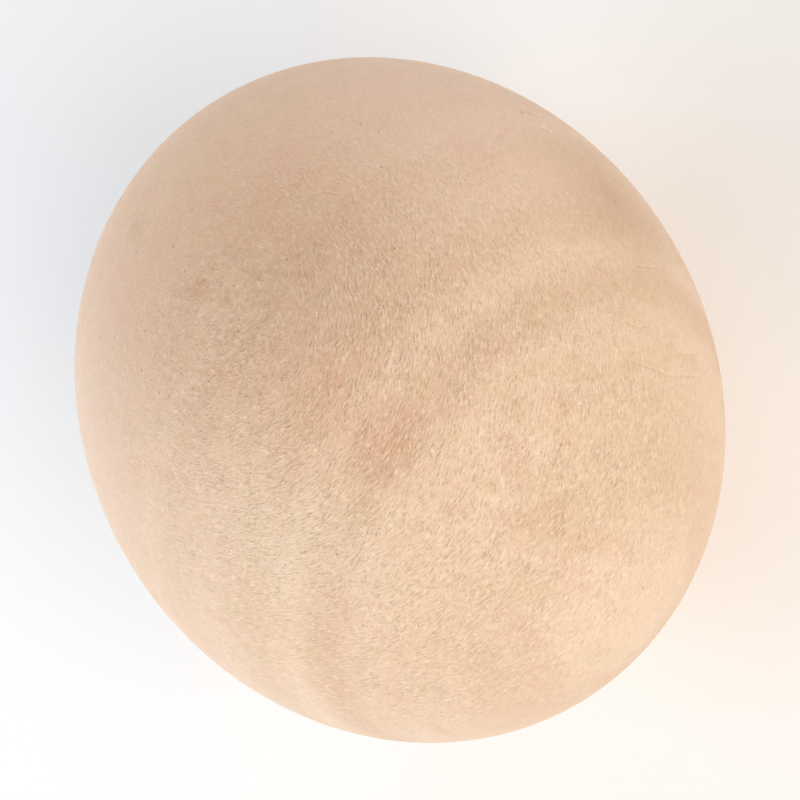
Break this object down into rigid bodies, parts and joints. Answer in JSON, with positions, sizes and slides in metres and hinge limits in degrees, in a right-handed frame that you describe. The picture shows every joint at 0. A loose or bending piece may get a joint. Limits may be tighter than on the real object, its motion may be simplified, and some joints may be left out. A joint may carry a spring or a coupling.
{
  "type": "wooden ball",
  "caption": "Plain solid wooden ball, turned and sanded but unfinished, for use as a foot, knob, stopper, toy or craft part.",
  "frame": {"origin": "centre of the ball", "axes": "+Z along the axis the ball was turned on, which is also the direction of the wood's grain, so the end grain is at the top and bottom; X and Y are free"},
  "size_m": [0.05, 0.05, 0.05],
  "materials": {
    "wood": "bare pale hardwood, turned and sanded along the latitudes, unsealed and matt"
  },
  "bodies": {
    "root": {"ball": "wood"}
  },
  "joints": []
}
